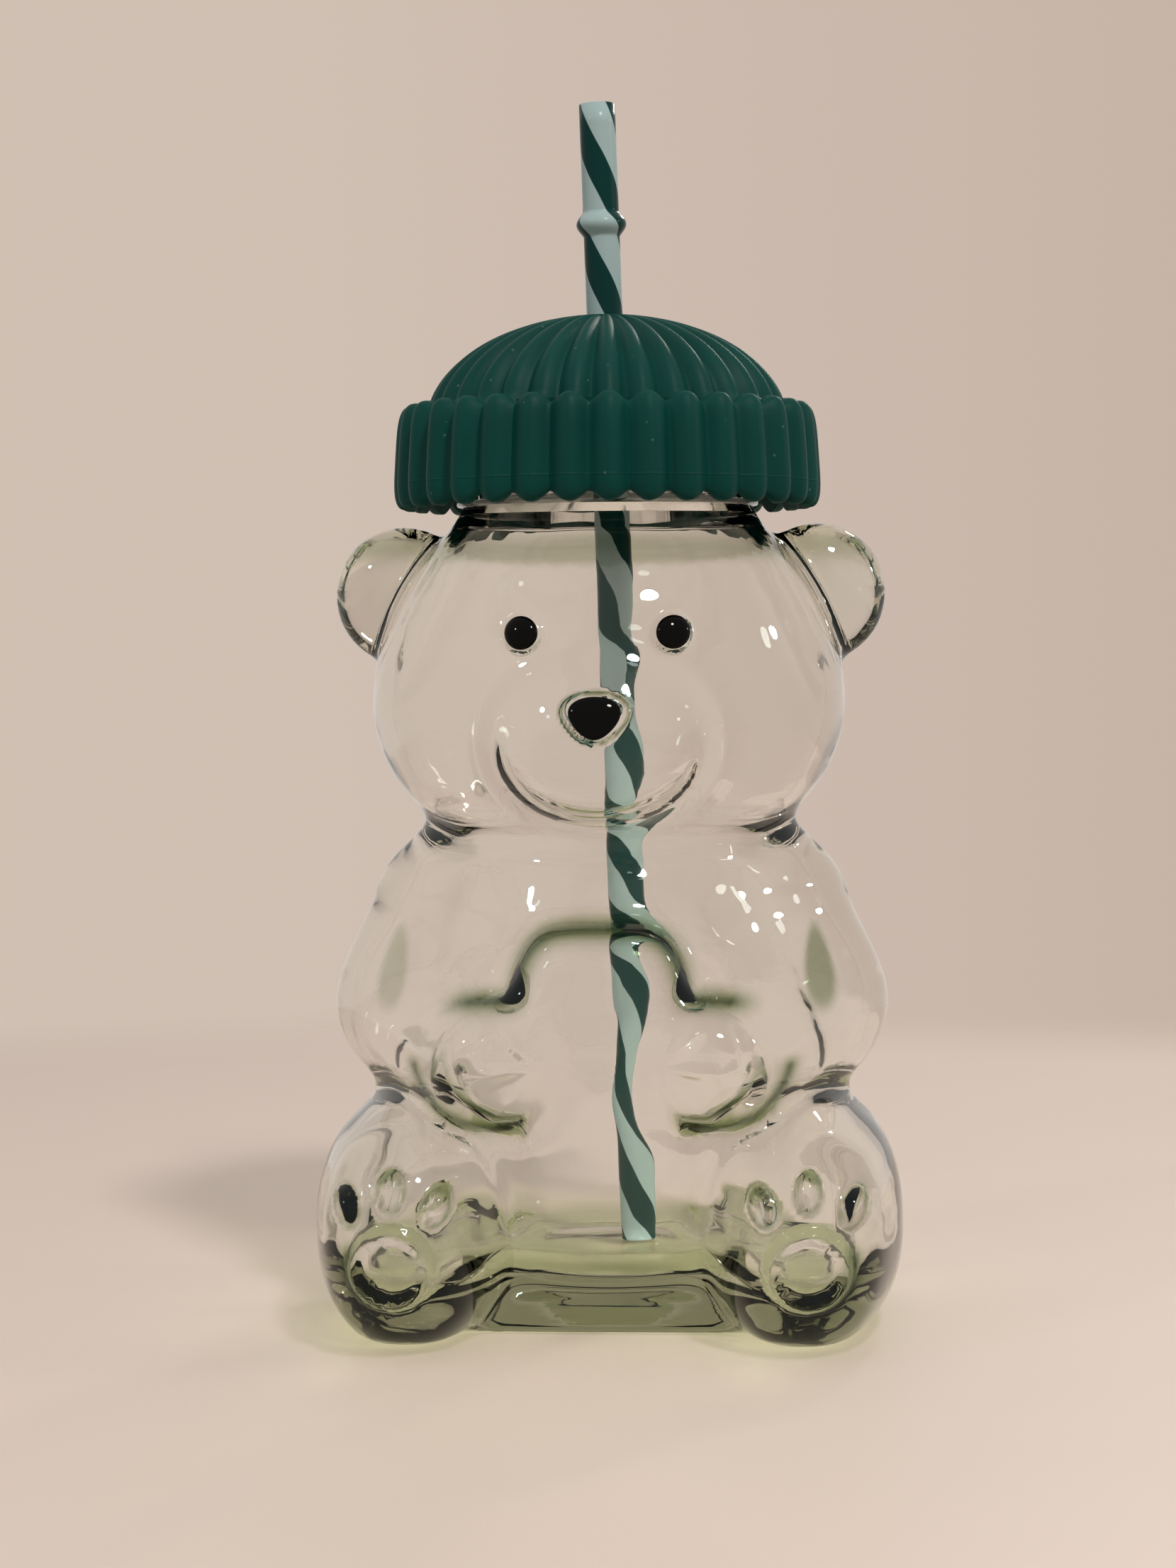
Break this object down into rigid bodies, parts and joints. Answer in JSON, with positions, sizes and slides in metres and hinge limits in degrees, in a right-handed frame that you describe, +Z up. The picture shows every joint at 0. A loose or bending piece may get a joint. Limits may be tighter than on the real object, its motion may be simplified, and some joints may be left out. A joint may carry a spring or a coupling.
{
  "type": "glass tumbler",
  "caption": "Bear-shaped clear glass tumbler with a screw lid under a ribbed knit-hat cover and a drinking straw that leans through a soft grommet in its crown.",
  "frame": {"origin": "middle of the footprint, on the surface that the tumbler stands on", "axes": "+Z up, the bear faces -Y, +X is the bear's left"},
  "size_m": [0.1048, 0.0884, 0.2174],
  "materials": {
    "clear_glass": "clear, slightly green soda-lime glass, smooth",
    "black_enamel": "gloss black enamel",
    "green_silicone": "satin deep green silicone",
    "cap_polypropylene": "satin white polypropylene",
    "pale_silicone": "translucent pale silicone",
    "straw_plastic": "gloss clear plastic with spiral dark green and pale blue-green stripes"
  },
  "bodies": {
    "jar": {"glass_bear": "clear_glass", "left_eye": "black_enamel", "right_eye": "black_enamel", "nose": "black_enamel"},
    "seal": {"cap_gasket": "pale_silicone"},
    "lid": {"screw_cap": "cap_polypropylene", "beanie_cover": "green_silicone"},
    "grommet": {"straw_grommet": "pale_silicone"},
    "straw": {"straw": "straw_plastic"}
  },
  "joints": [
    {"name": "lid_rise", "type": "slide", "parent": "jar", "child": "seal", "axis": [0, 0, 1], "range_m": [0, 0.0064]},
    {"name": "lid_turn", "type": "hinge", "parent": "seal", "child": "lid", "pos_m": [0, 0.00472, 0.1585], "axis": [0, 0, 1], "range_deg": [0, 540]},
    {"name": "straw_swivel", "type": "hinge", "parent": "lid", "child": "grommet", "pos_m": [0, 0.00472, 0.1718], "axis": [0, 0, 1], "continuous": true},
    {"name": "straw_slide", "type": "slide", "parent": "grommet", "child": "straw", "axis": [-0.03, 0, 0.9996], "range_m": [0, 0.168]}
  ],
  "couplings": [
    {"joint": "lid_rise", "follows": "lid_turn", "m_per_rad": 0.000673}
  ]
}
